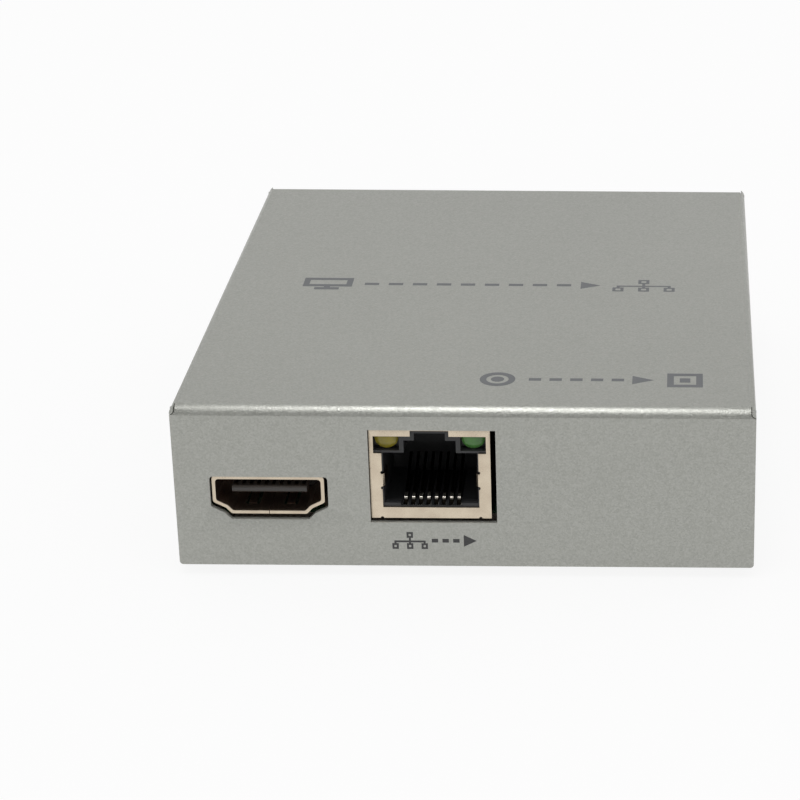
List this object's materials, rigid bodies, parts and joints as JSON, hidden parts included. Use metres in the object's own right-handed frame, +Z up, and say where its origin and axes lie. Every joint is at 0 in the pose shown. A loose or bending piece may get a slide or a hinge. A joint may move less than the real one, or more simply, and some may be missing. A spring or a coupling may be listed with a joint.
{
  "type": "hdmi extender",
  "caption": "Small flat folded-steel box with an HDMI socket and a network socket in front; power, infrared, reset and lights behind.",
  "frame": {"origin": "middle of the case's footprint, on the surface that the rubber feet stand on", "axes": "+X right as seen from the front, +Y from the socket panel to the back, +Z up"},
  "size_m": [0.077, 0.091, 0.0245],
  "materials": {
    "case_paint": "silver metallic fine texture",
    "screw_steel": "zinc plated",
    "foot_rubber": "matt",
    "spacer_brass": "turned",
    "board_laminate": "solder mask",
    "plated_steel": "warm nickel plate",
    "socket_black": "moulded",
    "contact_gold": "gold flash",
    "lens_yellow": "tinted clear",
    "lens_green": "tinted clear",
    "lens_red": "tinted clear",
    "tinned_wire": "tinned",
    "chip_black": "moulded",
    "chip_substrate": "laminate and lid",
    "pad_grey": "soft",
    "sink_aluminium": "satin",
    "ferrite_grey": "sintered",
    "ceramic_tan": "fired"
  },
  "bodies": {
    "case": {"top_cover": "case_paint", "bottom_plate": "case_paint", "case_screws": "screw_steel", "rubber_feet": "foot_rubber", "pcb_standoffs": "spacer_brass", "pcb_screws": "screw_steel", "main_board": "board_laminate", "hdmi_shell": "plated_steel", "hdmi_insulator": "socket_black", "hdmi_contacts": "contact_gold", "rj45_shield": "plated_steel", "rj45_housing": "socket_black", "rj45_contacts": "contact_gold", "rj45_led_yellow": "lens_yellow", "rj45_led_green": "lens_green", "rj45_led_leads": "tinned_wire", "network_transformer": "chip_black", "network_phy_chip": "chip_black", "main_processor": "chip_substrate", "thermal_pad": "pad_grey", "heat_sink": "sink_aluminium", "hdmi_receiver_chip": "chip_black", "memory_chips": "chip_black", "flash_chip": "chip_black", "crystals": "tinned_wire", "power_inductors": "ferrite_grey", "converter_chips": "chip_black", "electrolytic_capacitors": "sink_aluminium", "small_capacitors": "ceramic_tan", "small_resistors": "chip_black", "surge_arrays": "chip_black", "dc_jack_body": "socket_black", "dc_jack_pin": "tinned_wire", "dc_jack_spring": "contact_gold", "dc_jack_terminals": "tinned_wire", "ir_jack_body": "socket_black", "ir_jack_contacts": "contact_gold", "reset_switch_body": "socket_black", "reset_switch_cover": "tinned_wire", "reset_dome": "tinned_wire", "reset_switch_legs": "tinned_wire", "led_holders": "socket_black", "power_led": "lens_red", "status_led": "lens_green", "led_leads": "tinned_wire"},
    "reset_plunger": {"reset_button": "socket_black"}
  },
  "joints": [
    {"name": "reset_press", "type": "slide", "parent": "case", "child": "reset_plunger", "axis": [0, -1, 0], "range_m": [0, 0.00025], "stiffness_N_per_m": 4000, "springref_m": -0.0001}
  ]
}
